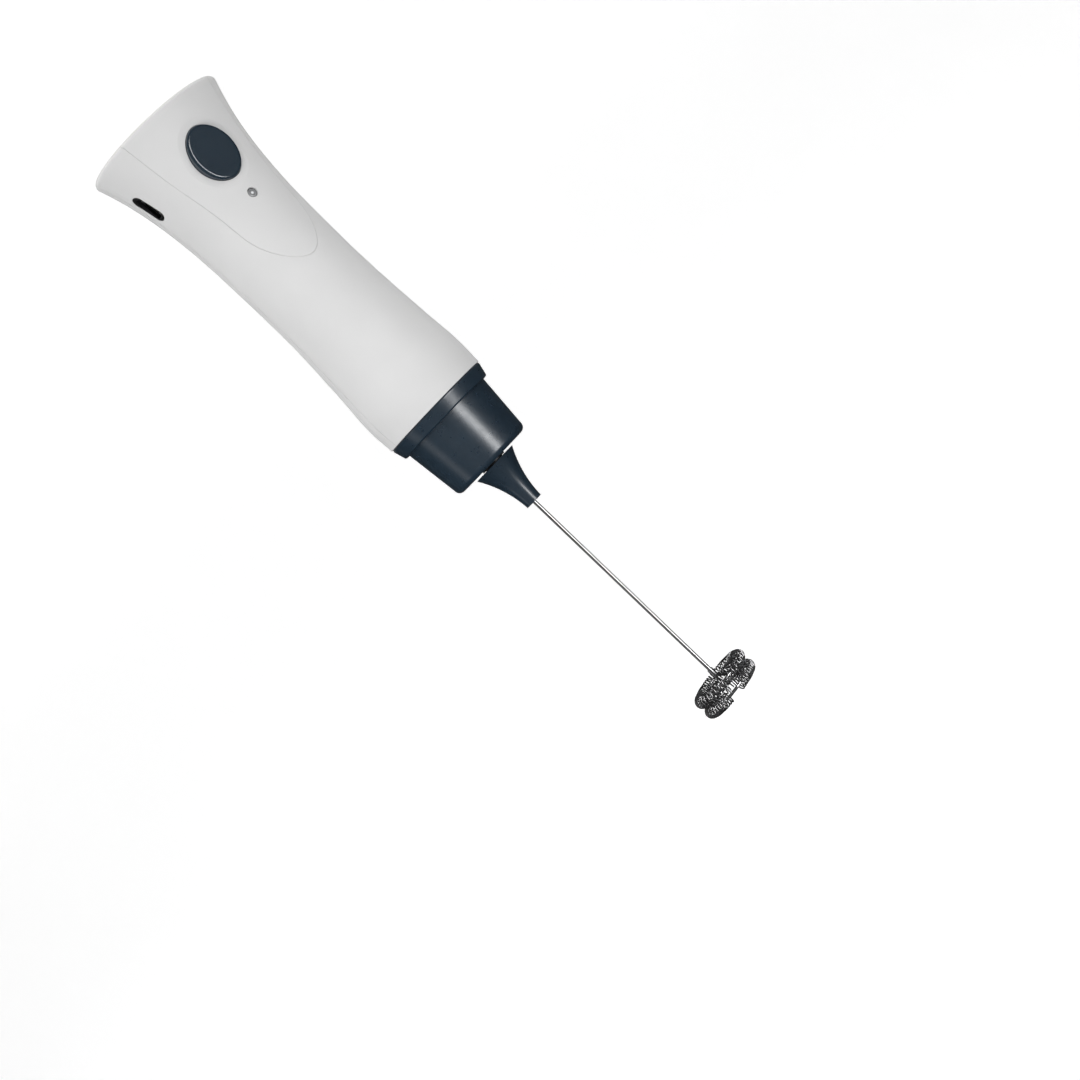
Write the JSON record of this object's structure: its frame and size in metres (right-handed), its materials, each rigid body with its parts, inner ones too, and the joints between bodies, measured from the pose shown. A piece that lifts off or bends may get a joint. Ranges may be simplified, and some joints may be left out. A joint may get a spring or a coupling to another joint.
{
  "type": "milk frother",
  "caption": "Hand-held rechargeable milk frother: flared white handle with oval push button, navy nose, thin rod and a whisk head of coil-spring rings.",
  "frame": {"origin": "centre of the handle's flat flared end, on the motor axis", "axes": "+Z along the motor axis to the whisk, -Y is the button side, +X is the charging-port side"},
  "size_m": [0.0504, 0.0407, 0.242],
  "materials": {
    "white_plastic": "satin",
    "navy_plastic": "satin",
    "navy_gloss": "polished",
    "black_plastic": "satin",
    "clear_plastic": "polished",
    "led_resin": "polished",
    "steel": "brushed",
    "stainless": "polished",
    "can_steel": "brushed",
    "board_green": "satin",
    "cell_wrap": "polished",
    "foam": "matte",
    "rubber": "matte",
    "copper": "polished",
    "bronze": "matte",
    "magnet": "matte",
    "carbon": "matte",
    "wire_red": "satin",
    "wire_black": "satin"
  },
  "bodies": {
    "handle": {"front_shell": "white_plastic", "rear_shell": "white_plastic", "front_panel": "white_plastic", "led_lens": "clear_plastic", "led": "led_resin", "usb_shell": "steel", "port_liner": "black_plastic", "usb_tongue": "black_plastic", "pcb": "board_green", "charge_chip": "black_plastic", "tact_switch_body": "black_plastic", "housing_screws": "steel", "pcb_screws": "steel", "battery_cell": "cell_wrap", "battery_tabs": "steel", "battery_foam_pad": "foam", "battery_wire_black": "wire_black", "battery_wire_red": "wire_red", "motor_wire_black": "wire_black", "motor_wire_red": "wire_red", "motor_can": "can_steel", "motor_end_bell": "black_plastic", "motor_terminals": "copper", "motor_magnets": "magnet", "motor_brushes": "carbon", "motor_rear_bushing": "bronze", "motor_front_bushing": "bronze", "motor_mount": "can_steel", "motor_screws": "steel", "motor_sleeve": "rubber", "collar_ring": "navy_plastic", "nose_cup": "navy_plastic", "shaft_seal": "rubber"},
    "drive": {"motor_shaft": "steel", "rotor_core": "can_steel", "rotor_windings": "copper", "commutator": "copper", "drive_coupling": "black_plastic"},
    "whisk": {"whisk_hub": "navy_plastic", "whisk_rod": "stainless", "whisk_ferrule": "stainless", "whisk_spoke": "stainless", "whisk_links": "stainless", "whisk_upper_wire": "stainless", "whisk_lower_wire": "stainless", "spring_upper": "stainless", "spring_lower": "stainless"},
    "button": {"button_cap": "navy_gloss"},
    "switch_plunger": {"tact_switch_plunger": "black_plastic"}
  },
  "joints": [
    {"name": "motor_spin", "type": "hinge", "parent": "handle", "child": "drive", "pos_m": [0, 0, 0.13], "axis": [0, 0, 1], "continuous": true},
    {"name": "whisk_pull", "type": "slide", "parent": "drive", "child": "whisk", "axis": [0, 0, 1], "range_m": [0, 0.012]},
    {"name": "button_press", "type": "slide", "parent": "handle", "child": "button", "axis": [0, 1, 0], "range_m": [0, 0.0006], "stiffness_N_per_m": 1500, "springref_m": -0.0004},
    {"name": "switch_travel", "type": "slide", "parent": "handle", "child": "switch_plunger", "axis": [0, 1, 0], "range_m": [0, 0.0006]}
  ],
  "couplings": [
    {"joint": "switch_travel", "follows": "button_press", "ratio": 1}
  ]
}
